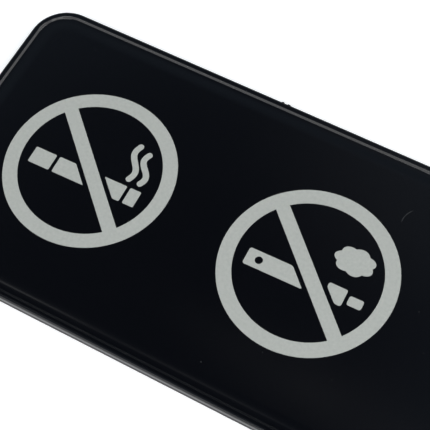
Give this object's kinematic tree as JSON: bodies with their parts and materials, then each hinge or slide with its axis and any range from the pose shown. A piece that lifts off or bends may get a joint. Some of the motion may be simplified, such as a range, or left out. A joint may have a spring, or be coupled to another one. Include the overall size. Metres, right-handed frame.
{
  "type": "self-adhesive no smoking wall sign",
  "caption": "Long black plastic wall sign with rounded corners, a slim raised rim round a flat face, and strips of foam tape with paper liners on its back.",
  "frame": {"origin": "under the middle of the sign, on the surface that its back lies on", "axes": "+X along the sign, +Y up the sign as it hangs, +Z out of the face"},
  "size_m": [0.2286, 0.0762, 0.0039],
  "materials": {
    "plate_plastic": "glossy moulded black plastic",
    "print_ink": "flat off-white print, a little rough",
    "foam_tape": "fine closed-cell foam",
    "release_liner": "smooth brown release paper"
  },
  "bodies": {
    "root": {"sign_plate": "plate_plastic", "tape_strip_upper": "foam_tape", "tape_strip_lower": "foam_tape", "tape_liner_upper": "release_liner", "tape_liner_lower": "release_liner"}
  },
  "joints": []
}
